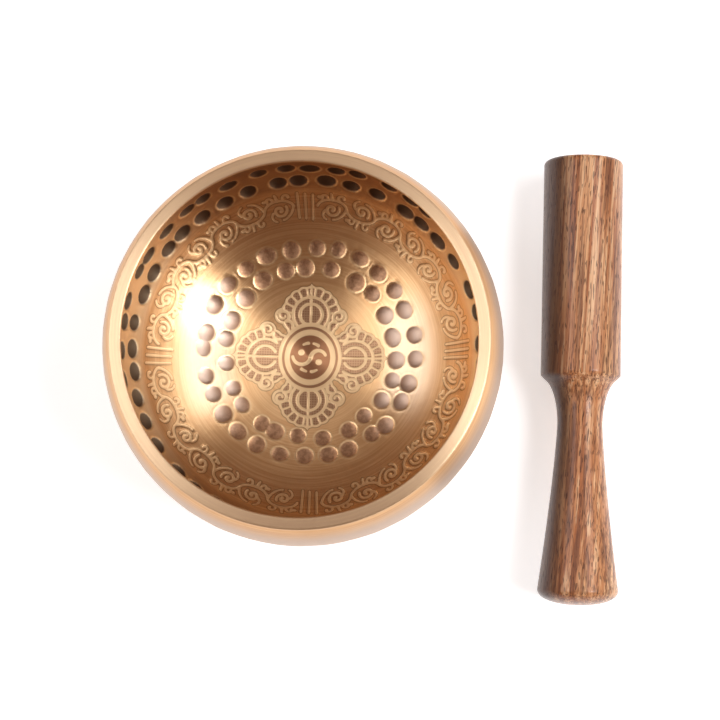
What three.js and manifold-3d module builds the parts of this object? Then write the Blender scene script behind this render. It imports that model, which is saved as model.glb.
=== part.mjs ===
// A hammered brass singing bowl, with the turned wooden mallet that plays it lying beside it.
// Millimetres, +Z up. The origin is the centre of the bowl's flat foot, on the surface it stands on.
// The bowl is one thick-walled shell of revolution whose rim leans in over its widest ring, and
// four rows of round hammer marks are struck into its inside. The mallet is one piece of wood,
// a plain barrel that strikes and rubs the rim, on a waisted handle that flares to its end.
import * as THREE from "three";
import { mergeVertices } from "three/addons/utils/BufferGeometryUtils.js";
import Module from "manifold-3d";

// The bowl's driving dimensions.
const WIDEST_RADIUS = 52.5;
const WIDEST_HEIGHT = 31.7;
const BOWL_HEIGHT = 48;
const FOOT_RADIUS = 16.5;
const WALL = 3.3;
const FLOOR_THICKNESS = 3.6;
const LIP_INNER_RADIUS = 45.4;
const LIP_EDGE_ROUND = 0.5;
const FULLNESS = 2.2; // the exponent of the lower wall's superellipse: 2 is a plain ellipse
const BOWL_SIDES = 60;
const OUTSIDE_STEPS = 9;
const INSIDE_STEPS = 11;
const UPPER_STEPS = 5;
const ROUND_STEPS = 2;

// The rows of hammer marks. A mark's place up the wall comes from its ring's radius. Each ring was
// struck by eye, so it lies a little off the bowl's axis: `off` is how far towards +Y.
const MARK_DEPTH = 0.65;
const MARK_SIDES = 7;
const MARK_RINGS = 7;
const TANGENT_STEP = 1e-3; // the share of the wall's curve over which its slope is taken
const MARK_ROWS = [
  { ring: 23.7, off: 1.1, count: 23, radius: 2.35 },
  { ring: 29.0, off: 1.1, count: 28, radius: 2.35 },
  { ring: 46.6, off: -0.33, count: 41, radius: 2.45 },
  { ring: 48.7, off: -0.13, count: 43, radius: 2.45 },
];

// The mallet's driving dimensions, measured along its axis from the end of the handle.
const MALLET_LENGTH = 121.0;
const BARREL_RADIUS = 10.8;
const BARREL_LENGTH = 60.0;
const BARREL_END_ROUND = 1.2;
const WAIST_RADIUS = 6.1;
const WAIST_AT = 48.5;
const SHOULDER_BEVEL = 0.8;
const HANDLE_DOME = 4.1; // how far the handle's rounded end stands past its widest ring
const DOME_FULLNESS = 2.2;
const DOME_STEPS = 7;
const FLARE_CURVE = 1.3; // the exponent of the handle's flare: 1 is a straight cone
const MALLET_SIDES = 40;
const FLARE_STEPS = 9;
const COVE_STEPS = 6;
const COVE_TURN = 0.42 * Math.PI; // how far round the cove turns before it meets the shoulder

// Where the mallet lies, parallel to Y on the bowl's +X side.
const MALLET_X = 74.3;
const MALLET_END_Y = -65.9;

const MERGE_DISTANCE = 1e-3;

const wasm = await Module();
wasm.setup();

// A quarter round from angle `from` to `to` about (r, z), in profile coordinates.
function arc(r, z, radius, from, to) {
  return Array.from({ length: ROUND_STEPS + 1 }, (_, i) => {
    const turn = from + ((to - from) * i) / ROUND_STEPS;
    return new THREE.Vector2(r + radius * Math.cos(turn), z + radius * Math.sin(turn));
  });
}

// The lower wall's curve, from the widest ring (share 0) down to the bottom of the curve (share 1).
function lowerWall(radius, depth, share) {
  const turn = (share * Math.PI) / 2;
  return new THREE.Vector2(
    radius * Math.max(0, Math.cos(turn)) ** (2 / FULLNESS),
    WIDEST_HEIGHT - depth * Math.sin(turn) ** (2 / FULLNESS),
  );
}

// The share of the lower wall's curve at which its radius is `ring`.
function shareAt(radius, ring) {
  return (Math.acos((ring / radius) ** (FULLNESS / 2)) * 2) / Math.PI;
}

// The upper wall's curve, from the widest ring (share 0) leaning in to the lip (share 1).
function upperWall(radius, lipRadius, share) {
  return new THREE.Vector2(
    radius - (radius - lipRadius) * share ** 2,
    WIDEST_HEIGHT + (BOWL_HEIGHT - LIP_EDGE_ROUND - WIDEST_HEIGHT) * share,
  );
}

const INNER_RADIUS = WIDEST_RADIUS - WALL;
const INNER_DEPTH = WIDEST_HEIGHT - FLOOR_THICKNESS;
// The outside's curve would come to a point below the table: the flat foot cuts it at FOOT_RADIUS.
const OUTER_DEPTH =
  WIDEST_HEIGHT / (1 - (FOOT_RADIUS / WIDEST_RADIUS) ** FULLNESS) ** (1 / FULLNESS);

// The bowl's half section, from the centre of the foot round the outside to the middle of the floor.
function bowlProfile() {
  const points = [new THREE.Vector2(0, 0)];
  const lipOuterRadius = LIP_INNER_RADIUS + WALL;
  const lipZ = BOWL_HEIGHT - LIP_EDGE_ROUND;
  const footShare = shareAt(WIDEST_RADIUS, FOOT_RADIUS);
  points.push(new THREE.Vector2(FOOT_RADIUS, 0));
  for (let i = OUTSIDE_STEPS - 1; i >= 0; i--) {
    points.push(lowerWall(WIDEST_RADIUS, OUTER_DEPTH, (footShare * i) / OUTSIDE_STEPS));
  }
  for (let i = 1; i < UPPER_STEPS; i++) {
    points.push(upperWall(WIDEST_RADIUS, lipOuterRadius, i / UPPER_STEPS));
  }
  points.push(...arc(lipOuterRadius - LIP_EDGE_ROUND, lipZ, LIP_EDGE_ROUND, 0, Math.PI / 2));
  points.push(
    ...arc(LIP_INNER_RADIUS + LIP_EDGE_ROUND, lipZ, LIP_EDGE_ROUND, Math.PI / 2, Math.PI),
  );
  for (let i = UPPER_STEPS - 1; i >= 1; i--) {
    points.push(upperWall(INNER_RADIUS, LIP_INNER_RADIUS, i / UPPER_STEPS));
  }
  for (let i = 0; i < INSIDE_STEPS; i++) {
    points.push(lowerWall(INNER_RADIUS, INNER_DEPTH, i / INSIDE_STEPS));
  }
  points.push(new THREE.Vector2(0, FLOOR_THICKNESS));
  return points;
}

// A closed three.js geometry as a solid that can be cut.
function solidFrom(geometry) {
  const shape = new THREE.BufferGeometry();
  shape.setAttribute("position", geometry.getAttribute("position"));
  if (geometry.index) shape.setIndex(geometry.index);
  const merged = mergeVertices(shape, MERGE_DISTANCE);
  return new wasm.Manifold(
    new wasm.Mesh({
      numProp: 3,
      vertProperties: new Float32Array(merged.attributes.position.array),
      triVerts: new Uint32Array(merged.index.array),
    }),
  );
}

// A solid's surface as a three.js geometry.
function geometryFrom(solid) {
  const mesh = solid.getMesh();
  const geometry = new THREE.BufferGeometry();
  geometry.setAttribute("position", new THREE.BufferAttribute(mesh.vertProperties, 3));
  geometry.setIndex(new THREE.BufferAttribute(mesh.triVerts, 1));
  geometry.computeVertexNormals();
  return geometry;
}

// The ball that leaves one hammer mark of that radius, with a pole along +Z.
function markBall(radius) {
  const ballRadius = (radius ** 2 + MARK_DEPTH ** 2) / (2 * MARK_DEPTH);
  const ball = new THREE.SphereGeometry(ballRadius, MARK_SIDES, MARK_RINGS);
  return { ball: ball.rotateX(Math.PI / 2), ballRadius };
}

// One ball in its place, sunk MARK_DEPTH into the wall and square to it, where the wall's radius
// is `ring` and at `turn` round the bowl.
function placeBall(ball, ballRadius, ring, turn) {
  const share = shareAt(INNER_RADIUS, ring);
  const on = lowerWall(INNER_RADIUS, INNER_DEPTH, share);
  const along = lowerWall(INNER_RADIUS, INNER_DEPTH, share + TANGENT_STEP).sub(on).normalize();
  const outward = new THREE.Vector2(-along.y, along.x);
  const centre = on.clone().addScaledVector(outward, MARK_DEPTH - ballRadius);
  const lean = Math.atan2(outward.x, outward.y);
  const place = new THREE.Matrix4()
    .makeRotationZ(turn)
    .multiply(new THREE.Matrix4().makeTranslation(centre.x, 0, centre.y))
    .multiply(new THREE.Matrix4().makeRotationY(lean));
  return solidFrom(ball.clone().applyMatrix4(place));
}

// All the balls of one row.
function rowOfMarks({ ring, off, count, radius }) {
  const { ball, ballRadius } = markBall(radius);
  return Array.from({ length: count }, (_, i) => {
    const turn = (2 * Math.PI * (i + 0.5)) / count;
    return placeBall(ball, ballRadius, ring + off * Math.sin(turn), turn);
  });
}

function makeBowl() {
  const shell = new THREE.LatheGeometry(bowlProfile(), BOWL_SIDES).rotateX(Math.PI / 2);
  const marks = MARK_ROWS.flatMap(rowOfMarks);
  const struck = solidFrom(shell).subtract(wasm.Manifold.union(marks));
  const brass = new THREE.MeshStandardMaterial({
    color: 0xc49a5e,
    roughness: 0.34,
    metalness: 1,
  });
  const bowl = new THREE.Mesh(geometryFrom(struck), brass);
  bowl.name = "bowl";
  return bowl;
}

// The mallet's half section, from the domed end of the handle to the flat end of the barrel.
function malletProfile() {
  const shoulderAt = MALLET_LENGTH - BARREL_LENGTH;
  const points = [new THREE.Vector2(0, 0)];
  for (let i = 1; i <= DOME_STEPS; i++) {
    const turn = ((i / DOME_STEPS) * Math.PI) / 2;
    points.push(
      new THREE.Vector2(
        BARREL_RADIUS * Math.sin(turn) ** (2 / DOME_FULLNESS),
        HANDLE_DOME * (1 - Math.max(0, Math.cos(turn)) ** (2 / DOME_FULLNESS)),
      ),
    );
  }
  for (let i = 1; i <= FLARE_STEPS; i++) {
    const left = 1 - i / FLARE_STEPS;
    points.push(
      new THREE.Vector2(
        WAIST_RADIUS + (BARREL_RADIUS - WAIST_RADIUS) * left ** FLARE_CURVE,
        WAIST_AT - (WAIST_AT - HANDLE_DOME) * left,
      ),
    );
  }
  const coveLength = shoulderAt - WAIST_AT;
  const coveDepth = BARREL_RADIUS - WAIST_RADIUS;
  for (let i = 1; i <= COVE_STEPS; i++) {
    const turn = (i / COVE_STEPS) * COVE_TURN;
    points.push(
      new THREE.Vector2(
        WAIST_RADIUS + coveDepth * (1 - Math.cos(turn)),
        WAIST_AT + coveLength * Math.sin(turn),
      ),
    );
  }
  points.push(new THREE.Vector2(BARREL_RADIUS, shoulderAt + SHOULDER_BEVEL));
  points.push(
    ...arc(
      BARREL_RADIUS - BARREL_END_ROUND,
      MALLET_LENGTH - BARREL_END_ROUND,
      BARREL_END_ROUND,
      0,
      Math.PI / 2,
    ),
  );
  points.push(new THREE.Vector2(0, MALLET_LENGTH));
  return points;
}

function makeMallet() {
  const geometry = new THREE.LatheGeometry(malletProfile(), MALLET_SIDES);
  const wood = new THREE.MeshStandardMaterial({ color: 0xa06a45, roughness: 0.5, metalness: 0 });
  const mallet = new THREE.Mesh(geometry, wood);
  mallet.name = "mallet";
  mallet.position.set(MALLET_X, MALLET_END_Y, BARREL_RADIUS);
  return mallet;
}

const singingBowlSet = new THREE.Group();
singingBowlSet.add(makeBowl(), makeMallet());

export default singingBowlSet;
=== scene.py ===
"""The looks of a hammered brass singing bowl and the turned wooden mallet beside it.

The bowl is rebuilt as one fine mesh on the CAD bowl's own section, with its struck marks and
etched ornament as real relief. The mallet is a fine turning on the CAD mallet's own section.
Shapes are worked out in millimetres and set down in metres.
"""
import math
from types import SimpleNamespace

import bpy
import numpy as np
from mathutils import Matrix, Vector


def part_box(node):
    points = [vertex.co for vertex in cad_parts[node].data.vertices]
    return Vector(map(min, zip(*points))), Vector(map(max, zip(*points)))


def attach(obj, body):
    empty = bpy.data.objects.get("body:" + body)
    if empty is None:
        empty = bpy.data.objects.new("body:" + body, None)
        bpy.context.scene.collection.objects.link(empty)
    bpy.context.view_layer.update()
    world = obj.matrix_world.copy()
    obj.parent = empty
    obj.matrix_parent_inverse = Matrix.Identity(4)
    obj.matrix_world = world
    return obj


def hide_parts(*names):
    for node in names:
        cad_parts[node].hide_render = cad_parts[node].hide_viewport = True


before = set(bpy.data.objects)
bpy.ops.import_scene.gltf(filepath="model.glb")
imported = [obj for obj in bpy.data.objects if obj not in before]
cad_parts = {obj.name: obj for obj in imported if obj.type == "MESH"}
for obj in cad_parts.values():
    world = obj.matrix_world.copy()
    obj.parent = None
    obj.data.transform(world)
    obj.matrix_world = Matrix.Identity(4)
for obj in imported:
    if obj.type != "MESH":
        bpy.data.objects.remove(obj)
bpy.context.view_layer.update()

MM = 0.001
FAR = 50.0  # a distance that stands for "nowhere near", in millimetres
TURN = 2 * math.pi
chance = np.random.default_rng(11)

# ---------------------------------------------------------------- camera and lights

CAMERA_AT = (0.0336, -0.0560, 0.4994)
CAMERA_TURNS = (6.40, 2.26, 1.37)  # degrees about X, Y and Z, with Z turned first
CAMERA_LENS = 90  # millimetres, like the sensor's width
CAMERA_SENSOR = 36
PANEL_AIM = (0, 0, 0.02)
PANEL_COLOUR = (0.90, 0.95, 1.0)
PANELS = (
    # name, place in metres, width and height in metres, watts
    ("right_panel", (0.60, 0.10, 0.75), (0.90, 0.44), 4.7),
    ("right_key", (0.62, -0.20, 0.77), (0.28, 0.28), 2.8),
    ("left_panel", (-0.52, -0.02, 0.82), (0.66, 0.42), 3.1),
    ("top_panel", (-0.02, 0.34, 1.15), (0.55, 0.50), 0.9),
)
ROOM_COLOUR = (1.0, 0.64, 0.48)
ROOM_STRENGTH = 0.18


def make_camera():
    data = bpy.data.cameras.new("camera")
    data.lens = CAMERA_LENS
    data.sensor_width = CAMERA_SENSOR
    data.clip_start = 0.01
    data.clip_end = 20
    camera = bpy.data.objects.new("camera", data)
    camera.location = CAMERA_AT
    camera.rotation_mode = "ZYX"
    camera.rotation_euler = [math.radians(turn) for turn in CAMERA_TURNS]
    bpy.context.scene.collection.objects.link(camera)
    bpy.context.scene.camera = camera


def make_light(name, place, size, watts):
    """A soft rectangular panel at place, facing the bowl."""
    data = bpy.data.lights.new(name, "AREA")
    data.shape = "RECTANGLE"
    data.size, data.size_y = size
    data.energy = watts
    data.color = PANEL_COLOUR
    light = bpy.data.objects.new(name, data)
    light.location = place
    back = Vector(place) - Vector(PANEL_AIM)
    light.rotation_mode = "QUATERNION"
    light.rotation_quaternion = back.to_track_quat("Z", "Y")
    bpy.context.scene.collection.objects.link(light)


def make_studio():
    for panel in PANELS:
        make_light(*panel)
    world = bpy.data.worlds.new("studio")
    world.use_nodes = True
    background = world.node_tree.nodes["Background"]
    background.inputs["Color"].default_value = (*ROOM_COLOUR, 1)
    background.inputs["Strength"].default_value = ROOM_STRENGTH
    bpy.context.scene.world = world
    bpy.context.scene.view_settings.view_transform = "Standard"


# ---------------------------------------------------------------- material helpers

MIX_SHARE, MIX_LOW, MIX_HIGH = 0, 6, 7  # a colour mix node's inputs, whose names repeat
MIX_COLOUR = 2  # and its output


def new_tree(name):
    material = bpy.data.materials.new(name)
    material.use_nodes = True
    tree = material.node_tree
    shader = tree.nodes["Principled BSDF"]
    return material, tree, shader


def put(tree, kind, inputs=(), **settings):
    """A node with its settings and its inputs, each either a socket to link or a value."""
    made = tree.nodes.new(kind)
    for key, value in settings.items():
        setattr(made, key, value)
    for key, value in dict(inputs).items():
        if isinstance(value, bpy.types.NodeSocket):
            tree.links.new(value, made.inputs[key])
        else:
            made.inputs[key].default_value = value
    return made


def calc(tree, operation, *values):
    inputs = list(enumerate(values))
    return put(tree, "ShaderNodeMath", inputs, operation=operation).outputs[0]


def times(tree, first, second):
    return calc(tree, "MULTIPLY", first, second)


def plus(tree, first, second):
    return calc(tree, "ADD", first, second)


def inverse(tree, share):
    """0 where share is 1, and 1 where it is 0."""
    return calc(tree, "SUBTRACT", 1.0, share)


def step_up(tree, value, low, high):
    """0 below low, 1 above high, and smooth between them."""
    inputs = {"Value": value, "From Min": low, "From Max": high}
    made = put(tree, "ShaderNodeMapRange", inputs, interpolation_type="SMOOTHSTEP")
    return made.outputs["Result"]


def step_down(tree, value, low, high):
    """1 below low, 0 above high, and smooth between them."""
    return inverse(tree, step_up(tree, value, low, high))


def mix(tree, share, low, high):
    """The colour low where share is 0, and high where it is 1."""
    low, high = [c if isinstance(c, bpy.types.NodeSocket) else (*c, 1) for c in (low, high)]
    inputs = {MIX_SHARE: share, MIX_LOW: low, MIX_HIGH: high}
    return put(tree, "ShaderNodeMix", inputs, data_type="RGBA").outputs[MIX_COLOUR]


def blend(tree, share, low, high):
    """The number low where share is 0, and high where it is 1."""
    inputs = {"Value": share, "To Min": low, "To Max": high}
    return put(tree, "ShaderNodeMapRange", inputs).outputs["Result"]


def noise(tree, vector, scale, detail, rough):
    inputs = {"Vector": vector, "Scale": scale, "Detail": detail, "Roughness": rough}
    return put(tree, "ShaderNodeTexNoise", inputs).outputs[0]


def attribute(tree, name):
    return put(tree, "ShaderNodeAttribute", attribute_name=name).outputs["Fac"]


def own_place(tree):
    """The point's place on the piece, and its X, Y and Z."""
    place = put(tree, "ShaderNodeTexCoord").outputs["Object"]
    return place, put(tree, "ShaderNodeSeparateXYZ", {"Vector": place}).outputs


def joined(tree, **axes):
    return put(tree, "ShaderNodeCombineXYZ", axes).outputs[0]


def stretched_noise(tree, vector, scale, detail, rough):
    """Noise with its own scale along each axis."""
    vector = put(tree, "ShaderNodeMapping", {"Vector": vector, "Scale": scale}).outputs[0]
    return noise(tree, vector, 1.0, detail, rough)


def set_bump(tree, shader, height):
    """Give the shader fine relief from a height in millimetres."""
    bump = put(tree, "ShaderNodeBump", {"Height": height, "Distance": MM, "Strength": 1.0})
    tree.links.new(bump.outputs[0], shader.inputs["Normal"])


# ---------------------------------------------------------------- the bowl's section

_, bowl_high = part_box("bowl")
WIDEST_RADIUS = bowl_high.x / MM
BOWL_HEIGHT = bowl_high.z / MM
WIDEST_HEIGHT = 31.7
FOOT_RADIUS = 16.5
WALL = 3.3
FLOOR_THICKNESS = 3.6
LIP_INNER_RADIUS = 45.4
LIP_EDGE_ROUND = 0.5
FULLNESS = 2.2
INNER_RADIUS = WIDEST_RADIUS - WALL
INNER_DEPTH = WIDEST_HEIGHT - FLOOR_THICKNESS
OUTER_DEPTH = (
    WIDEST_HEIGHT / (1 - (FOOT_RADIUS / WIDEST_RADIUS) ** FULLNESS) ** (1 / FULLNESS)
)
LIP_OUTER_RADIUS = LIP_INNER_RADIUS + WALL
LIP_Z = BOWL_HEIGHT - LIP_EDGE_ROUND
SECTION_POINTS = 600


def lower_wall(radius, depth, shares):
    """(radius, height) down the lower wall, from the widest ring (0) to the bottom (1)."""
    turn = shares * math.pi / 2
    across = radius * np.maximum(np.cos(turn), 0) ** (2 / FULLNESS)
    return np.column_stack([across, WIDEST_HEIGHT - depth * np.sin(turn) ** (2 / FULLNESS)])


def upper_wall(radius, lip_radius, shares):
    """(radius, height) up the upper wall, from the widest ring (0) to the lip's edge (1)."""
    across = radius - (radius - lip_radius) * shares**2
    return np.column_stack([across, WIDEST_HEIGHT + (LIP_Z - WIDEST_HEIGHT) * shares])


def corner(radius, height, start, end):
    """A rounded edge of the lip, from angle start to end about (radius, height)."""
    turn = np.linspace(start, end, 12)
    across = radius + LIP_EDGE_ROUND * np.cos(turn)
    return np.column_stack([across, height + LIP_EDGE_ROUND * np.sin(turn)])


def bowl_section():
    """The section from the middle of the floor, up the inside, over the lip, to the foot."""
    foot_share = math.acos((FOOT_RADIUS / WIDEST_RADIUS) ** (FULLNESS / 2)) * 2 / math.pi
    shares = np.linspace(0, 1, SECTION_POINTS)
    return np.vstack(
        [
            lower_wall(INNER_RADIUS, INNER_DEPTH, shares[::-1]),
            upper_wall(INNER_RADIUS, LIP_INNER_RADIUS, shares[1:]),
            corner(LIP_INNER_RADIUS + LIP_EDGE_ROUND, LIP_Z, math.pi, math.pi / 2)[1:],
            corner(LIP_OUTER_RADIUS - LIP_EDGE_ROUND, LIP_Z, math.pi / 2, 0),
            upper_wall(WIDEST_RADIUS, LIP_OUTER_RADIUS, shares[-2::-1]),
            lower_wall(WIDEST_RADIUS, OUTER_DEPTH, shares[1:] * foot_share),
            [[FOOT_RADIUS / 2, 0], [0, 0]],
        ]
    )


def step_lengths(line):
    return np.linalg.norm(np.diff(line, axis=0), axis=1)


section = bowl_section()
section = section[np.append(True, step_lengths(section) > 1e-6)]
travel = np.append(0, np.cumsum(step_lengths(section)))  # how far along the section
slope = np.gradient(section, travel, axis=0)
facing = np.column_stack([-slope[:, 1], slope[:, 0]])  # straight out of the metal
facing /= np.linalg.norm(facing, axis=1)[:, None]

INSIDE = slice(0, SECTION_POINTS)  # the stretch of the section that is the inside's lower wall


def travel_at(radius):
    """How far along the section the inside's lower wall reaches that radius."""
    return float(np.interp(radius, section[INSIDE, 0], travel[INSIDE]))


def travel_to_height(height):
    """How far along the section the inside first reaches that height."""
    return float(np.interp(height, section[INSIDE, 1], travel[INSIDE]))


inside_upper = upper_wall(INNER_RADIUS, LIP_INNER_RADIUS, np.linspace(0, 1, SECTION_POINTS))
lip_start = travel[INSIDE][-1] + float(np.sum(step_lengths(inside_upper)))
lip_end = lip_start + (WALL - 2 * LIP_EDGE_ROUND) + math.pi * LIP_EDGE_ROUND
foot_start = travel[-1] - FOOT_RADIUS
widest = travel[np.argmax(section[:, 0])]

# ---------------------------------------------------------------- drawing strokes


def arc_line(x, y, radius, start, end, count=18, tall=1.0):
    """A round or oval arc about (x, y), from angle start to end in degrees."""
    turn = np.radians(np.linspace(start, end, count))
    return np.column_stack([x + radius * np.cos(turn), y + radius * tall * np.sin(turn)])


def curl_line(x, y, outer, inner, start, end, count=30):
    """A curl about (x, y) whose radius goes from outer to inner between two angles in degrees."""
    turn = np.radians(np.linspace(start, end, count))
    radius = np.linspace(outer, inner, count)
    return np.column_stack([x + radius * np.cos(turn), y + radius * np.sin(turn)])


def bend_line(first, pull_first, pull_last, last, count=12):
    """A smooth bend from first to last, drawn towards the two pulls."""
    share = np.linspace(0, 1, count)[:, None]
    ends = (1 - share) ** 3 * np.array(first) + share**3 * np.array(last)
    pulls = (1 - share) * np.array(pull_first) + share * np.array(pull_last)
    return ends + 3 * share * (1 - share) * pulls


def stroke(line, half, tip=None):
    """A line with its half width at each point, going from half to tip."""
    line = np.asarray(line, float)
    return line, np.linspace(half, half if tip is None else tip, len(line))


def distance_to(points, strokes):
    """Each point's distance to the nearest stroke's edge, negative inside it."""
    best = np.full(len(points), FAR)
    for line, halves in strokes:
        for k in range(len(line) - 1):
            along = line[k + 1] - line[k]
            offset = points - line[k]
            share = np.clip(offset @ along / (along @ along), 0, 1)
            gap = np.hypot(*(offset - share[:, None] * along).T)
            np.minimum(best, gap - halves[k] - share * (halves[k + 1] - halves[k]), out=best)
    return best


# ---------------------------------------------------------------- the medallion on the floor

MEDALLION_REACH = 21.4
MEDALLION_STRETCH = (1.04, 0.99)
LOBE_AT = 12.0
LOBE_MIDDLE = np.array([LOBE_AT, 0])
LOBE_RADIUS = 7.75
CELLS = 9
CELL_TURN = 19.0  # degrees
CELL_BAR = (5.0, 7.6)  # where a bar between two cells starts and ends, from the lobe's middle
HOOK_AT = (11.5, 7.5)
HOOK_REACH = 2.25
OUTLINE_HALF = 0.34
RING_TALL = 1.10
RING_EDGE = 7.8
RING_HALF = 0.5
RING_MARGIN = 0.9
INNER_RING_RADIUS = 6.35
INNER_RING_HALF = 0.72
SWIRL_REACH = 5.2
FIELD_DEPTH = 0.11


def lobe_strokes():
    """The lines of the lobe that points along +X, about the medallion's centre."""
    lines = [
        stroke(arc_line(LOBE_AT, 0, 3.0, -152, 152, 32), 0.42),
        stroke([[LOBE_AT - 3.2, 0], [LOBE_AT + 7.6, 0]], 0.30),
        stroke(arc_line(LOBE_AT, 0, 4.85, -128, 128, 36), 0.40),
    ]
    for k in range(CELLS + 1):
        turn = math.radians((k - CELLS / 2) * CELL_TURN)
        ray = np.array([math.cos(turn), math.sin(turn)])
        lines.append(stroke([LOBE_MIDDLE + reach * ray for reach in CELL_BAR], 0.27))
    for side in (-1, 1):
        hook = curl_line(*HOOK_AT, 1.75, 0.55, -150, 260)
        lines.append(stroke(hook * [1, side], 0.42, 0.30))
        base = bend_line((8.1, 4.9), (9.6, 4.6), (10.2, 5.4), (10.0, 6.7))
        lines.append(stroke(base * [1, side], 0.40))
    return lines


def lobe_outline(points):
    """The distance to the outline of one lobe and its hooks, negative inside."""
    from_lobe = points - LOBE_MIDDLE
    turn = np.arctan2(from_lobe[:, 1], from_lobe[:, 0])
    scallop = 0.32 * np.abs(np.cos(turn * 180 / CELL_TURN))
    lobe = np.hypot(*from_lobe.T) - LOBE_RADIUS - scallop
    tip = np.abs(points[:, 0] - LOBE_AT - LOBE_RADIUS - 0.2) * 0.7 + np.abs(points[:, 1]) - 0.5
    hooks = np.hypot(points[:, 0] - HOOK_AT[0], np.abs(points[:, 1]) - HOOK_AT[1]) - HOOK_REACH
    return np.minimum(np.minimum(lobe, tip), hooks)


def swirl_strokes():
    """The swirl, dots and bars inside the middle ring."""
    lines = [
        stroke(arc_line(-2.3, 0.55, 2.55, 190, 358, 22), 0.42, 0.6),
        stroke(arc_line(2.35, -0.15, 2.1, 168, 25, 20), 0.6, 0.42),
        stroke([[-2.5, 1.3], [-2.45, 1.3]], 0.86),
        stroke([[2.5, -1.25], [2.45, -1.25]], 0.86),
    ]
    for turn in (66, 108, 246, 288):
        lines.append(stroke(arc_line(0, 0, 4.0, turn - 10, turn + 10, 6), 0.46, 0.34))
    return lines


def medallion(points):
    """Each point's distance to the bright lines, to the outer edge and from the centre."""
    spread = points / MEDALLION_STRETCH
    turn = np.arctan2(spread[:, 1], spread[:, 0])
    quarter = np.round(turn / (TURN / 4)) * (TURN / 4)
    reach = np.hypot(*spread.T)
    folded = np.column_stack([reach * np.cos(turn - quarter), reach * np.sin(turn - quarter)])
    ring = np.hypot(points[:, 0], points[:, 1] / RING_TALL)
    edge = np.minimum(lobe_outline(folded), ring - RING_EDGE - RING_MARGIN)
    edge_line = np.abs(edge + OUTLINE_HALF) - OUTLINE_HALF
    lines = np.minimum(distance_to(folded, lobe_strokes()), edge_line)
    lines = np.maximum(lines, RING_EDGE + 0.05 - ring)
    inner_ring = np.abs(ring - INNER_RING_RADIUS) - INNER_RING_HALF
    outer_ring = np.abs(ring - RING_EDGE - RING_HALF) - RING_HALF
    lines = np.minimum(lines, np.minimum(inner_ring, outer_ring))
    swirl = np.maximum(distance_to(points, swirl_strokes()), ring - SWIRL_REACH)
    return np.minimum(lines, swirl), edge, ring


# ---------------------------------------------------------------- the band round the wall

BAND_RADII = (35.8, 44.8)
BAND_MIDDLE = (travel_at(BAND_RADII[0]) + travel_at(BAND_RADII[1])) / 2
BAND_REFERENCE = 40.6  # the radius at which the band's lengths are true
BAND_HALF = 4.6
BAND_DEPTH = 0.07
BAND_END = travel_at(44.9)
QUARTERS = 4
CELLS_PER_QUARTER = 7
FIRST_DIVIDER = math.radians(2.5)
DIVIDER_WIDTH = 6.4
BAR_GAP = 2.0
BAR_REACH = 3.9
BAR_SHIFT = 0.3  # each bar of a group lies this much higher than the one before
LINE_HALF = 0.40


def scroll_cell(width, size, lean):
    """One arch of the vine, with the curl under it and the leaves over it."""
    half = width / 2
    arch = arc_line(0, -0.3, half, 172, 8, 22, tall=2.6 / half)
    curl = curl_line(0.15 + lean, -0.75, 2.15 * size, 0.35, 150, 590, 40)
    leaf_left = curl_line(-2.35, 3.1, 1.15, 0.5, -40, 190, 16)
    leaf_up = bend_line((0.1, 2.3), (0.5, 3.1), (0.2, 3.6), (0.6, 4.3))
    leaf_right = curl_line(2.35, 2.85, 1.05, 0.5, 215, -20, 16)
    spur = bend_line((1.9, -1.2), (2.9, -2.2), (2.4, -3.4), (1.3, -3.9))
    root = bend_line((-half + 0.2, -0.2), (-3.4, -2.4), (-1.8, -3.6), (-0.5, -3.7))
    return [
        stroke(arch, LINE_HALF),
        stroke(curl, LINE_HALF, 0.5),
        stroke(leaf_left, 0.34, 0.42),
        stroke(leaf_up, 0.50, 0.34),
        stroke(leaf_right, 0.34, 0.42),
        stroke(spur, LINE_HALF, 0.30),
        stroke(root, LINE_HALF, 0.30),
        stroke([[half - 0.5, 2.9], [half - 0.45, 2.9]], 0.55),
    ]


def band_distance(turns, across):
    """Each point's distance to the band's lines, from its angle and its place across the band."""
    best = np.full(len(turns), FAR)
    quarter_length = TURN / QUARTERS * BAND_REFERENCE
    cell_width = (quarter_length - DIVIDER_WIDTH) / CELLS_PER_QUARTER

    def draw(middle, reach, strokes):
        ahead = (turns - middle / BAND_REFERENCE + math.pi) % TURN - math.pi
        near = np.abs(ahead * BAND_REFERENCE) < reach
        points = np.column_stack([ahead[near] * BAND_REFERENCE, across[near]])
        best[near] = np.minimum(best[near], distance_to(points, strokes))

    for quarter in range(QUARTERS):
        start = FIRST_DIVIDER * BAND_REFERENCE + quarter * quarter_length
        for bar in (-1, 0, 1):
            line = [[0, BAR_SHIFT * bar - BAR_REACH], [0, BAR_SHIFT * bar + BAR_REACH]]
            draw(start + bar * BAR_GAP, BAR_GAP, [stroke(line, 0.36)])
        for cell in range(CELLS_PER_QUARTER):
            middle = start + DIVIDER_WIDTH / 2 + (cell + 0.5) * cell_width
            size = chance.uniform(0.88, 1.08)
            strokes = scroll_cell(cell_width, size, chance.uniform(-0.25, 0.25))
            flip = [1, -1] if cell % 2 else [1, 1]
            strokes = [(line * flip, halves) for line, halves in strokes]
            draw(middle, cell_width, strokes)
    return best


# ---------------------------------------------------------------- the hammer marks

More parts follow.
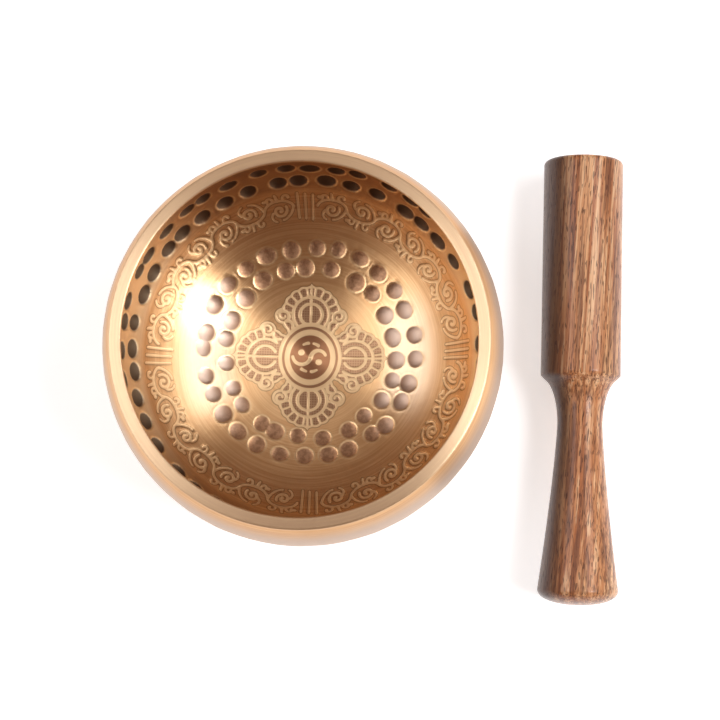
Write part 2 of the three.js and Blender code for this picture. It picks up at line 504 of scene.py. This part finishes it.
MARK_ROWS = (
    # the ring's radius, how far it lies off the axis towards +Y, how many, radius, depth, and
    # how tall a mark is for its width
    (23.7, 1.1, 23, 2.50, 0.34, 1.00),
    (29.0, 1.1, 28, 2.50, 0.35, 0.98),
    (46.6, -0.33, 41, 2.50, 0.50, 0.90),
    (48.7, -0.13, 43, 2.45, 0.50, 0.90),
)
MARK_LIP = 0.05  # how far the metal stands up round a mark
MARK_LIP_WIDTH = 0.38
MARK_SPREAD = 0.20  # how uneven a row is, as a share of the gap between two marks
MARK_SHIFT = 0.55
MARK_SIZES = (0.90, 1.06)
MARK_OVALS = (0.93, 1.07)
MARK_DEPTHS = (0.8, 1.15)
NO_MARK = 3.0  # the place of a point that is far from every mark


def strike_marks(turns, travels, radii):
    """(relief in mm, place within the nearest mark, side of it).

    The place is 0 at a mark's middle and 1 at its edge. The side runs from -1 at the edge nearest
    the middle of the bowl to 1 at the far edge.
    """
    relief = np.zeros(len(turns))
    place = np.full(len(turns), NO_MARK)
    side = np.zeros(len(turns))
    for ring, off, count, radius, depth, tall in MARK_ROWS:
        row_start = chance.uniform(0, TURN)
        for k in range(count):
            turn = row_start + TURN / count * (k + chance.uniform(-MARK_SPREAD, MARK_SPREAD))
            at = travel_at(ring + off * math.sin(turn)) + chance.uniform(-MARK_SHIFT, MARK_SHIFT)
            size = radius * chance.uniform(*MARK_SIZES)
            oval = tall * chance.uniform(*MARK_OVALS)
            deep = depth * chance.uniform(*MARK_DEPTHS)
            ahead = (turns - turn + math.pi) % TURN - math.pi
            near = (np.abs(travels - at) < 2 * size) & (np.abs(ahead) * radii < 2 * size)
            offset = np.hypot(ahead[near] * radii[near] * oval, (travels[near] - at) / oval)
            share = offset / size
            dish = -deep * np.clip(1 - share**2, 0, None) ** 0.9
            rise = MARK_LIP * np.exp(-(((offset - size) / MARK_LIP_WIDTH) ** 2))
            before = relief[near]
            struck = (share < 1) | (before < -0.02)
            relief[near] = np.where(struck, np.minimum(before, dish), before + rise)
            side[near] = np.where(share < place[near], (travels[near] - at) / size, side[near])
            place[near] = np.minimum(place[near], share)
    return relief, place, side


# ---------------------------------------------------------------- the bowl's mesh

FLAT_GAP = 7.5
FLAT_ROW_GAP = 5.5
FLAT_DEPTH = 0.07
FLAT_RADII = (2.0, 4.6)  # full depth inside the first, and nothing outside the second
FLAT_REACH = 5.0
ETCH_SOFT = 0.12  # half the width of an etched edge's slope


def ring_plan():
    """(travel, points round) for each ring of the mesh: fine where there is relief."""
    # Where each stretch starts, the gap between its rings, and their points round.
    stops = [
        (0.35, 0.30, 60),
        (2.0, 0.28, 120),
        (5.0, 0.28, 240),
        (travel_at(11.6), 0.285, 480),
        (travel_at(20.9), 0.37, 480),
        (travel_at(31.4), 0.90, 240),
        (travel_at(35.4), 0.41, 720),
        (BAND_END, 0.56, 720),
        (travel_to_height(30.6), 1.0, 240),
        (lip_start - 1.2, 0.4, 240),
        (lip_start, 0.2, 240),
        (lip_start + 0.8, 0.45, 240),
        (lip_end - 0.8, 0.2, 240),
        (lip_end, 0.6, 240),
        (lip_end + 1.2, 1.80, 240),
        (foot_start - 0.6, 0.6, 240),
        (foot_start + 4.0, 1.6, 120),
        (foot_start + 10.0, 1.6, 60),
        (travel[-1] - 1.5, 1.6, 60),
    ]
    plan = []
    for (start, gap, count), following in zip(stops, stops[1:]):
        length = following[0] - start
        steps = max(1, round(length / gap))
        plan += [(start + length * k / steps, count) for k in range(steps)]
    return plan


def ring_faces(first, first_count, second, second_count):
    """The faces between two rings, given where each starts and how many points it has."""
    faces = []
    count = min(first_count, second_count)
    near, far = first_count // count, second_count // count
    for k in range(count):
        low = [first + (k * near + j) % first_count for j in range(near + 1)]
        high = [second + (k * far + j) % second_count for j in range(far + 1)]
        faces.append((low[0], *high, *low[:0:-1]))
    return faces


def turned_faces(counts):
    """The faces of a turning: a middle point, rings of these many points, and a last middle."""
    starts = np.concatenate([[1], 1 + np.cumsum(counts)])
    rings = list(zip(starts, counts))
    last, last_count = rings[-1]
    faces = [(0, 1 + k, 1 + (k + 1) % counts[0]) for k in range(counts[0])]
    for ring, following in zip(rings, rings[1:]):
        faces += ring_faces(*ring, *following)
    faces += [(last + k, starts[-1], last + (k + 1) % last_count) for k in range(last_count)]
    return faces


def build_mesh(name, points, faces, attributes):
    mesh = bpy.data.meshes.new(name)
    mesh.from_pydata(points, [], faces)
    mesh.polygons.foreach_set("use_smooth", np.ones(len(mesh.polygons), bool))
    for key, values in attributes.items():
        layer = mesh.attributes.new(key, "FLOAT", "POINT")
        layer.data.foreach_set("value", np.asarray(values, np.float32))
    mesh.update()
    made = bpy.data.objects.new(name, mesh)
    bpy.context.scene.collection.objects.link(made)
    return made


def smooth_step(values, low, high):
    share = np.clip((values - low) / (high - low), 0, 1)
    return share * share * (3 - 2 * share)


def planished(turns, travels, radii):
    """The faint flats that planishing leaves on the outside, in mm."""
    relief = np.zeros(len(turns))
    outside = travels > lip_end
    rows = np.arange(lip_end + 3, foot_start, FLAT_ROW_GAP)
    for row, row_travel in enumerate(rows):
        radius = float(np.interp(row_travel, travel, section[:, 0]))
        count = max(8, int(TURN * radius / FLAT_GAP))
        for k in range(count):
            turn = TURN * (k + 0.5 * (row % 2) + chance.uniform(-0.2, 0.2)) / count
            at = row_travel + chance.uniform(-1, 1)
            ahead = (turns - turn + math.pi) % TURN - math.pi
            near = outside & (np.abs(travels - at) < FLAT_REACH) & (np.abs(ahead) * radii < FLAT_REACH)
            offset = np.hypot(ahead[near] * radii[near], travels[near] - at)
            relief[near] -= FLAT_DEPTH * (1 - smooth_step(offset, *FLAT_RADII))
    return relief


def medallion_on_floor(turns, travels, radii):
    """What medallion gives for the points on the floor, and FAR for all the others."""
    found = np.full((3, len(turns)), FAR)
    on_floor = travels < travel_at(MEDALLION_REACH + 0.8)
    flat = np.column_stack([radii * np.cos(turns), radii * np.sin(turns)])[on_floor]
    found[:, on_floor] = medallion(flat)
    return found


def band_on_wall(turns, travels):
    """Each point's distance to the band's lines."""
    found = np.full(len(turns), FAR)
    across = travels - BAND_MIDDLE
    on_band = np.abs(across) < BAND_HALF + 1.0
    found[on_band] = band_distance(turns[on_band], across[on_band])
    return found


def make_bowl():
    plan = ring_plan()
    counts = [count for _, count in plan]
    turns = np.concatenate([[0.0]] + [TURN * np.arange(n) / n for n in counts] + [[0.0]])
    travels = np.concatenate([[0.0]] + [np.full(n, t) for t, n in plan] + [[travel[-1]]])
    radii = np.interp(travels, travel, section[:, 0])
    heights = np.interp(travels, travel, section[:, 1])

    relief, place, side = strike_marks(turns, travels, radii)
    relief += planished(turns, travels, radii)
    etch, field, middle = medallion_on_floor(turns, travels, radii)
    in_field = smooth_step(-field, -0.1, 0.12) * smooth_step(etch, -ETCH_SOFT, ETCH_SOFT)
    relief -= FIELD_DEPTH * in_field
    band = band_on_wall(turns, travels)
    relief -= BAND_DEPTH * (1 - smooth_step(band, -ETCH_SOFT, ETCH_SOFT))

    radii += relief * np.interp(travels, travel, facing[:, 0])
    heights += relief * np.interp(travels, travel, facing[:, 1])
    points = np.column_stack([radii * np.cos(turns), radii * np.sin(turns), heights]) * MM
    attributes = {
        "travel": travels,
        "mark": place,
        "mark_side": side,
        "etch": etch,
        "band": band,
        "field": field,
        "middle": middle,
    }
    bowl = build_mesh("hammered_bowl", points.tolist(), turned_faces(counts), attributes)
    bowl.data.materials.append(brass_material())
    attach(bowl, "bowl")
    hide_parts("bowl")


# ---------------------------------------------------------------- the brass

BRASS_DARK = (0.74, 0.405, 0.185)
BRASS_LIGHT = (0.91, 0.575, 0.29)
BRASS_PATCH = (0.70, 0.40, 0.18)
# A painted reflection of the pale floor, for the outside of the bowl.
BRASS_FLOOR_REFLECTION = (0.60, 0.47, 0.385)
BRASS_LIP = (0.98, 0.74, 0.50)
# A painted highlight for the inside's two sides, between the medallion and the band.
BRASS_PAINTED_HIGHLIGHT = (0.96, 0.76, 0.58)
# The upper wall's colours: tarnished metal with painted shade for its front and back, and a painted
# sheen for its sides.
TARNISH_AND_PAINTED_SHADE = (0.43, 0.24, 0.130)
PAINTED_SHEEN_AT_SIDES = (0.92, 0.74, 0.50)
MARK_DARK = (0.36, 0.185, 0.105)
MARK_LIGHT = (0.54, 0.305, 0.180)
# Painted shade and painted sheen across the marks at the bowl's sides.
MARK_PAINTED_SHADE = (0.28, 0.14, 0.085)
MARK_PAINTED_SHEEN = (0.84, 0.65, 0.53)
MARK_HIGH = (0.070, 0.038, 0.023)
MARK_RIM = (0.95, 0.72, 0.42)
FIELD_COLOUR = (0.41, 0.21, 0.115)
FIELD_MIDDLE = (0.37, 0.165, 0.085)
HATCH_COLOUR = (0.78, 0.54, 0.33)
LINE_COLOUR = (0.98, 0.71, 0.40)
# Painted shade along the walls of the etched lines and fields.
ETCH_EDGE_SHADE = (0.30, 0.155, 0.08)
HATCH_GAP = 0.68
HATCH_TURNS = TURN / (HATCH_GAP * MM)
LATHE_ACROSS = 1.9  # how fast the lathe's lines change across them, for each millimetre
LATHE_ALONG = 34.0  # and how fast along them, for each metre
BRUSHED = 0.78
QUARTER_TURN = 0.25


# A mask for painted shade along an etched edge.
def edge_shade(tree, name, middle, low, high):
    """1 where the attribute is close to middle, and 0 where it is further from it than high."""
    gap = calc(tree, "ABSOLUTE", calc(tree, "SUBTRACT", attribute(tree, name), middle))
    return step_down(tree, gap, low, high)


def brass_features(tree):
    """The metal's noises, and a share from 0 to 1 for each of the bowl's features."""
    along = attribute(tree, "travel")
    place, axes = own_place(tree)
    # Fine lines from the lathe, running round the bowl: noise drawn out along the turn.
    spun = joined(
        tree,
        X=times(tree, along, LATHE_ACROSS),
        Y=times(tree, axes["X"], LATHE_ALONG),
        Z=times(tree, axes["Y"], LATHE_ALONG),
    )
    mark = attribute(tree, "mark")
    past_edge = step_up(tree, mark, 0.90, 1.02)
    on_line = step_down(tree, attribute(tree, "etch"), -0.10, 0.10)
    on_band = step_down(tree, attribute(tree, "band"), -0.10, 0.06)
    in_medallion = step_down(tree, attribute(tree, "field"), -0.12, 0.08)
    x_squared = times(tree, axes["X"], axes["X"])
    y_squared = times(tree, axes["Y"], axes["Y"])
    return SimpleNamespace(
        along=along,
        axes=axes,
        lines=noise(tree, spun, 1.0, 4.0, 0.62),
        patches=noise(tree, place, 62.0, 3.0, 0.55),
        specks=noise(tree, place, 900.0, 2.0, 0.6),
        mark=step_down(tree, mark, 0.80, 1.02),
        mark_rim=times(tree, past_edge, step_down(tree, mark, 1.04, 1.24)),
        line=on_line,
        pale=calc(tree, "MAXIMUM", times(tree, on_line, 0.75), times(tree, on_band, 0.50)),
        field=times(tree, in_medallion, inverse(tree, on_line)),
        high_up=step_up(tree, along, BAND_END - 2.0, BAND_END + 1.5),
        past_wall=step_up(tree, along, lip_start - 0.4, lip_start + 0.6),
        sideways=calc(tree, "DIVIDE", x_squared, plus(tree, x_squared, y_squared)),
    )


def plain_brass(tree, where):
    """The colour of the metal itself, without marks and ornament."""
    colour = mix(tree, step_up(tree, where.lines, 0.30, 0.72), BRASS_DARK, BRASS_LIGHT)
    patches = times(tree, step_up(tree, where.patches, 0.42, 0.75), 0.5)
    colour = mix(tree, patches, colour, BRASS_PATCH)

    # The outside carries a painted reflection of the pale floor, palest round the shoulder and more
    # golden towards the foot.
    outside = step_up(tree, where.along, lip_end - 0.6, lip_end + 9.0)
    lower_down = step_up(tree, where.along, widest + 1.0, widest + 14.0)
    painted_reflection = times(tree, outside, blend(tree, lower_down, 0.90, 0.45))
    colour = mix(tree, painted_reflection, colour, BRASS_FLOOR_REFLECTION)

    # The upper wall is tarnished, with painted shade at its front and back and a painted sheen that
    # makes it paler at its two sides.
    below_lip = step_down(tree, where.along, lip_start - 0.8, lip_start)
    sheen_at_sides = step_up(tree, where.sideways, 0.25, 0.90)
    tarnish_and_painted_light = mix(tree, sheen_at_sides, TARNISH_AND_PAINTED_SHADE, PAINTED_SHEEN_AT_SIDES)
    colour = mix(tree, times(tree, times(tree, where.high_up, below_lip), 0.80), colour, tarnish_and_painted_light)

    before_outside = step_down(tree, where.along, lip_end - 0.6, lip_end + 0.6)
    on_lip = times(tree, where.past_wall, before_outside)
    colour = mix(tree, times(tree, on_lip, 0.55), colour, BRASS_LIP)

    # Between the medallion and the band the two sides are painted paler, a painted highlight where the
    # side lamps' light falls.
    past_medallion = step_up(tree, where.along, travel_at(18.0), travel_at(26.0))
    up_to_band = step_down(tree, where.along, travel_at(31.0), travel_at(38.0))
    painted_highlight = times(tree, past_medallion, up_to_band)
    painted_highlight = times(tree, painted_highlight, step_up(tree, where.sideways, 0.55, 0.95))
    return mix(tree, times(tree, painted_highlight, 0.50), colour, BRASS_PAINTED_HIGHLIGHT)


def struck_brass(tree, where):
    """The colour inside the hammer marks."""
    # A mark is a dull brown at the front and back. At the sides it has painted shade towards the
    # middle of the bowl and a painted sheen beyond. The marks high on the wall are nearly black.
    dull = mix(tree, step_up(tree, where.specks, 0.35, 0.65), MARK_DARK, MARK_LIGHT)
    shade_to_sheen = step_up(tree, attribute(tree, "mark_side"), -1.0, 0.65)
    painted_shade_and_sheen = mix(tree, shade_to_sheen, MARK_PAINTED_SHADE, MARK_PAINTED_SHEEN)
    colour = mix(tree, step_up(tree, where.sideways, 0.35, 0.85), dull, painted_shade_and_sheen)
    return mix(tree, where.high_up, colour, MARK_HIGH)


def hatching(tree, where):
    """The cross-hatching that a fine punch leaves in the medallion's recessed fields."""
    waves = [calc(tree, "SINE", times(tree, where.axes[k], HATCH_TURNS)) for k in ("X", "Y")]
    hatch = step_up(tree, calc(tree, "MAXIMUM", *waves), 0.35, 0.85)
    outside_ring = step_up(tree, attribute(tree, "middle"), 8.6, 8.9)
    return times(tree, times(tree, hatch, where.field), outside_ring)


def brass_colour(tree, where):
    colour = plain_brass(tree, where)
    colour = mix(tree, times(tree, where.mark, 0.90), colour, struck_brass(tree, where))
    colour = mix(tree, times(tree, where.mark_rim, 0.45), colour, MARK_RIM)
    in_middle = step_down(tree, attribute(tree, "middle"), 5.4, 5.7)
    field_colour = mix(tree, in_middle, FIELD_COLOUR, FIELD_MIDDLE)
    colour = mix(tree, times(tree, where.field, 0.9), colour, field_colour)
    colour = mix(tree, times(tree, hatching(tree, where), 0.42), colour, HATCH_COLOUR)
    colour = mix(tree, where.pale, colour, LINE_COLOUR)
    # Painted shade along the walls of the band's etched lines and the medallion's fields.
    band_edge_shade = edge_shade(tree, "band", 0.13, 0.06, 0.20)
    medallion_edge_shade = edge_shade(tree, "field", 0.12, 0.06, 0.22)
    dark = times(tree, calc(tree, "MAXIMUM", band_edge_shade, medallion_edge_shade), 0.5)
    return mix(tree, dark, colour, ETCH_EDGE_SHADE)


def brass_roughness(tree, where):
    # The struck marks scatter light more than the brushed metal, and the etched lines are matte.
    rough = blend(tree, where.lines, 0.24, 0.37)
    added = (
        (where.mark, blend(tree, where.high_up, 0.16, 0.24)),
        (where.past_wall, 0.10),
        (where.field, 0.14),
        (where.pale, 0.20),
        (where.specks, 0.04),
    )
    for share, amount in added:
        rough = plus(tree, rough, times(tree, share, amount))
    return rough


def brass_height(tree, where):
    """The finest relief, in millimetres. The lathe's lines are fainter in the marks."""
    kept = inverse(tree, times(tree, where.mark, 0.55))
    height = times(tree, times(tree, where.lines, kept), 0.030)
    height = plus(tree, height, times(tree, where.specks, 0.006))
    for share in (where.field, where.mark):
        height = plus(tree, height, times(tree, times(tree, share, where.specks), 0.03))
    return height


def brass_material():
    material, tree, shader = new_tree("hammered_brass")
    where = brass_features(tree)
    tree.links.new(brass_colour(tree, where), shader.inputs["Base Color"])
    tree.links.new(brass_roughness(tree, where), shader.inputs["Roughness"])
    tree.links.new(inverse(tree, times(tree, where.line, 0.30)), shader.inputs["Metallic"])
    set_bump(tree, shader, brass_height(tree, where))
    # The lathe's lines run round the bowl, so they scatter light to and from its axis.
    tangent = put(tree, "ShaderNodeTangent", direction_type="RADIAL", axis="Z")
    tree.links.new(tangent.outputs[0], shader.inputs["Tangent"])
    shader.inputs["Anisotropic"].default_value = BRUSHED
    shader.inputs["Anisotropic Rotation"].default_value = QUARTER_TURN
    return material


# ---------------------------------------------------------------- the mallet

mallet_low, mallet_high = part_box("mallet")
BARREL_RADIUS = (mallet_high.z - mallet_low.z) / 2 / MM
MALLET_LENGTH = (mallet_high.y - mallet_low.y) / MM
MALLET_X = (mallet_low.x + mallet_high.x) / 2 / MM
BARREL_LENGTH = 60.0
BARREL_END_ROUND = 1.2
WAIST_RADIUS = 6.1
WAIST_AT = 48.5
SHOULDER_BEVEL = 0.8
HANDLE_DOME = 4.1
DOME_FULLNESS = 2.2
FLARE_CURVE = 1.3
COVE_TURN = 0.42 * math.pi
MALLET_SIDES = 192


def mallet_section():
    """(distance from the handle's end, radius) along the mallet."""
    shoulder = MALLET_LENGTH - BARREL_LENGTH
    dome = np.linspace(0, math.pi / 2, 30)[1:]
    flare = np.linspace(1, 0, 90)[1:]
    cove = np.linspace(0, COVE_TURN, 40)[1:]
    barrel = np.linspace(shoulder + SHOULDER_BEVEL, MALLET_LENGTH - BARREL_END_ROUND, 60)
    end = np.linspace(0, math.pi / 2, 9)[1:]
    spread = BARREL_RADIUS - WAIST_RADIUS
    parts = [
        (HANDLE_DOME * (1 - np.cos(dome) ** (2 / DOME_FULLNESS)),
         BARREL_RADIUS * np.sin(dome) ** (2 / DOME_FULLNESS)),
        (WAIST_AT - (WAIST_AT - HANDLE_DOME) * flare, WAIST_RADIUS + spread * flare**FLARE_CURVE),
        (WAIST_AT + (shoulder - WAIST_AT) * np.sin(cove), WAIST_RADIUS + spread * (1 - np.cos(cove))),
        (barrel, np.full(len(barrel), BARREL_RADIUS)),
        (MALLET_LENGTH - BARREL_END_ROUND * (1 - np.sin(end)),
         BARREL_RADIUS - BARREL_END_ROUND * (1 - np.cos(end))),
        (np.full(5, MALLET_LENGTH), np.linspace(BARREL_RADIUS - BARREL_END_ROUND, 1.2, 6)[1:]),
    ]
    return np.hstack(parts)


def make_mallet():
    along, across = mallet_section()
    turn = TURN * np.arange(MALLET_SIDES) / MALLET_SIDES
    start_y = mallet_low.y / MM
    rings = []
    for at, radius in zip(along, across):
        x = MALLET_X + radius * np.cos(turn)
        z = BARREL_RADIUS + radius * np.sin(turn)
        rings.append(np.column_stack([x, np.full(MALLET_SIDES, start_y + at), z]))
    handle_end = [[MALLET_X, start_y, BARREL_RADIUS]]
    barrel_end = [[MALLET_X, start_y + MALLET_LENGTH, BARREL_RADIUS]]
    points = np.vstack([handle_end, *rings, barrel_end]) * MM
    faces = turned_faces([MALLET_SIDES] * len(rings))
    # How far each point lies towards the bowl: 1 on the near side, 0 through the middle.
    on_end = (along < HANDLE_DOME) | (along > MALLET_LENGTH - BARREL_END_ROUND)
    from_axis = np.where(on_end, across / BARREL_RADIUS, 1.0)
    bowl_side = np.concatenate([[0.0], np.outer(from_axis, -np.cos(turn)).ravel(), [0.0]])
    mallet = build_mesh("turned_mallet", points.tolist(), faces, {"bowl_side": bowl_side})
    mallet.data.materials.append(wood_material())
    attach(mallet, "mallet")
    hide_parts("mallet")


# ---------------------------------------------------------------- the wood

GRAIN_LEAN = 0.055  # how far the grain runs off the mallet's axis, for each unit along it
HEART_AT = (MALLET_X * MM - 0.15, -0.025)  # the middle of the tree, in X and Z, in metres
RINGS_ACROSS = 520.0
RINGS_ALONG = 5.0
WOOD_DARK = (0.40, 0.142, 0.052)
WOOD_LIGHT = (0.88, 0.48, 0.235)
WOOD_WARM = (0.46, 0.150, 0.048)
WOOD_PALE = (0.94, 0.60, 0.34)
STREAK_COLOUR = (0.155, 0.056, 0.028)
THREAD_COLOUR = (0.135, 0.042, 0.020)
PORE_COLOUR = (0.04, 0.016, 0.010)
# Painted shade for the mallet's side that lies towards the bowl.
BOWL_SIDE_SHADE = (0.055, 0.024, 0.017)


def growth_rings(tree, axes, warp):
    """Rings about a heart that lies outside the turning, bent a little along the length."""
    heart_x, heart_z = HEART_AT
    from_heart_x = calc(tree, "SUBTRACT", axes["X"], heart_x)
    from_heart_z = calc(tree, "SUBTRACT", axes["Z"], heart_z)
    x_squared = times(tree, from_heart_x, from_heart_x)
    z_squared = times(tree, from_heart_z, from_heart_z)
    reach = calc(tree, "SQRT", plus(tree, x_squared, z_squared))
    reach = calc(tree, "SUBTRACT", reach, times(tree, axes["Y"], GRAIN_LEAN))
    reach = plus(tree, reach, times(tree, warp, 0.0065))
    place = joined(
        tree, X=times(tree, reach, RINGS_ACROSS), Y=times(tree, axes["Y"], RINGS_ALONG)
    )
    return noise(tree, place, 1.0, 3.0, 0.6)


def wood_material():
    material, tree, shader = new_tree("turned_wood")
    place, axes = own_place(tree)
    leaning = calc(tree, "SUBTRACT", axes["X"], times(tree, axes["Y"], GRAIN_LEAN))
    grain = joined(tree, X=leaning, Y=axes["Y"], Z=axes["Z"])
    warp = stretched_noise(tree, place, (60, 9, 60), 2.0, 0.5)
    rings = growth_rings(tree, axes, warp)
    tone = stretched_noise(tree, grain, (170, 11, 170), 2.0, 0.5)
    streaks = stretched_noise(tree, grain, (760, 14, 480), 3.0, 0.65)
    fibres = stretched_noise(tree, grain, (2700, 130, 1800), 2.0, 0.6)
    pores = stretched_noise(tree, grain, (3300, 420, 2500), 0.0, 0.5)
    pore = step_up(tree, pores, 0.635, 0.70)
    # Painted shade runs down the side that lies towards the bowl.
    shade_line = plus(tree, attribute(tree, "bowl_side"), times(tree, warp, 0.5))

    colour = mix(tree, step_up(tree, rings, 0.38, 0.62), WOOD_DARK, WOOD_LIGHT)
    layers = (
        # where it shows, how strongly, and its colour
        (step_up(tree, tone, 0.44, 0.62), 0.65, WOOD_WARM),
        (step_up(tree, streaks, 0.50, 0.62), 0.70, STREAK_COLOUR),
        (step_up(tree, inverse(tree, streaks), 0.52, 0.66), 0.62, WOOD_PALE),
        (step_up(tree, fibres, 0.50, 0.66), 0.56, THREAD_COLOUR),
        (pore, 0.62, PORE_COLOUR),
        (step_up(tree, shade_line, 0.45, 1.05), 0.92, BOWL_SIDE_SHADE),
    )
    for share, strength, layer_colour in layers:
        colour = mix(tree, times(tree, share, strength), colour, layer_colour)
    tree.links.new(colour, shader.inputs["Base Color"])

    rough = plus(tree, blend(tree, fibres, 0.36, 0.52), times(tree, pore, 0.2))
    tree.links.new(rough, shader.inputs["Roughness"])
    height = calc(tree, "SUBTRACT", times(tree, fibres, 0.035), times(tree, pore, 0.07))
    set_bump(tree, shader, height)
    shader.inputs["Specular IOR Level"].default_value = 0.20
    shader.inputs["Coat Weight"].default_value = 0.60
    shader.inputs["Coat Roughness"].default_value = 0.20
    shader.inputs["Coat IOR"].default_value = 1.34
    return material


# ---------------------------------------------------------------- floor

FLOOR_HALF = 3.0
FLOOR_COLOUR = (0.93, 0.925, 0.92)
FLOOR_GLOW = 0.55


def make_floor():
    signs = ((-1, -1), (1, -1), (1, 1), (-1, 1))
    corners = [(FLOOR_HALF * x, FLOOR_HALF * y, 0) for x, y in signs]
    floor = build_mesh("floor", corners, [(0, 1, 2, 3)], {})
    material, _, shader = new_tree("pale_floor")
    shader.inputs["Base Color"].default_value = (*FLOOR_COLOUR, 1)
    shader.inputs["Roughness"].default_value = 0.9
    shader.inputs["Emission Color"].default_value = (1, 1, 1, 1)
    shader.inputs["Emission Strength"].default_value = FLOOR_GLOW
    floor.data.materials.append(material)


make_camera()
make_studio()
make_floor()
make_bowl()
make_mallet()
